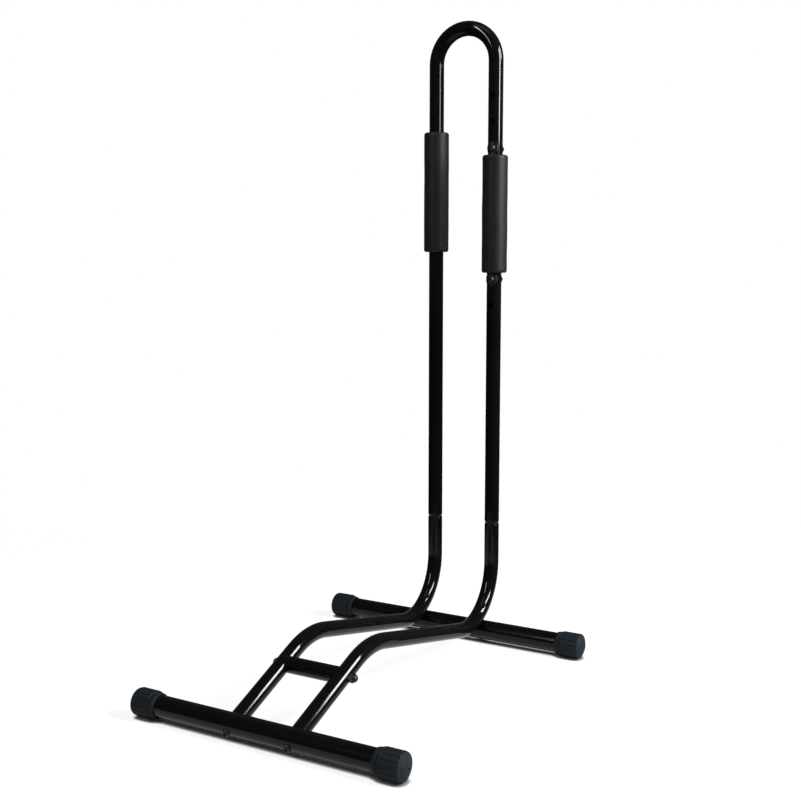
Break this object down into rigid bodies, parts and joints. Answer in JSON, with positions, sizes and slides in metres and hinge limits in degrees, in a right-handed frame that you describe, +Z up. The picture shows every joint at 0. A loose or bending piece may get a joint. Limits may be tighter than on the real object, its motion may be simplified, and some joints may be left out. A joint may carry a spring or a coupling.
{
  "type": "floor bike rack",
  "caption": "Floor bike rack: a tall tube hoop with foam sleeves plugs into two bent lower tubes on two crossbars with rubber end caps; a wheel stands in the slot.",
  "frame": {"origin": "on the floor under the middle of the rack's bounding box", "axes": "+X along the crossbars to the right of a person facing the front crossbar, -Y towards the front crossbar, +Z up the hoop"},
  "size_m": [0.516, 0.6585, 1.0999],
  "materials": {
    "tube_gloss": "glossy black powder coat",
    "crossbar_satin": "satin black powder coat",
    "cap_rubber": "matte moulded rubber",
    "sleeve_foam": "fine-celled matte foam rubber",
    "fastener_steel": "dark zinc plated",
    "washer_black": "black, smooth"
  },
  "bodies": {
    "base": {"left_lower_tube": "tube_gloss", "right_lower_tube": "tube_gloss", "front_crossbar": "crossbar_satin", "rear_crossbar": "crossbar_satin", "rung_tube": "crossbar_satin", "front_left_end_cap": "cap_rubber", "front_right_end_cap": "cap_rubber", "rear_left_end_cap": "cap_rubber", "rear_right_end_cap": "cap_rubber", "front_left_bolt": "fastener_steel", "rear_left_bolt": "fastener_steel", "left_threaded_plug": "fastener_steel", "left_threaded_boss": "fastener_steel", "front_right_bolt": "fastener_steel", "rear_right_bolt": "fastener_steel", "right_threaded_plug": "fastener_steel", "right_threaded_boss": "fastener_steel", "rung_bolt": "fastener_steel", "rung_dome_nut": "fastener_steel"},
    "hoop": {"hoop_tube": "tube_gloss", "right_foam_sleeve": "sleeve_foam", "lower_stop_bolt": "fastener_steel", "lower_stop_front_washer": "washer_black", "lower_stop_back_washer": "washer_black", "lower_stop_nut": "fastener_steel", "upper_stop_bolt": "fastener_steel", "upper_stop_front_washer": "washer_black", "upper_stop_back_washer": "washer_black", "upper_stop_nut": "fastener_steel"},
    "left_sleeve": {"left_foam_sleeve": "sleeve_foam"}
  },
  "joints": [
    {"name": "hoop_lift", "type": "slide", "parent": "base", "child": "hoop", "axis": [0, 0, 1], "range_m": [0, 0.06]},
    {"name": "left_sleeve_slide", "type": "slide", "parent": "hoop", "child": "left_sleeve", "axis": [0, 0, 1], "range_m": [-0.48, 0.115]}
  ]
}
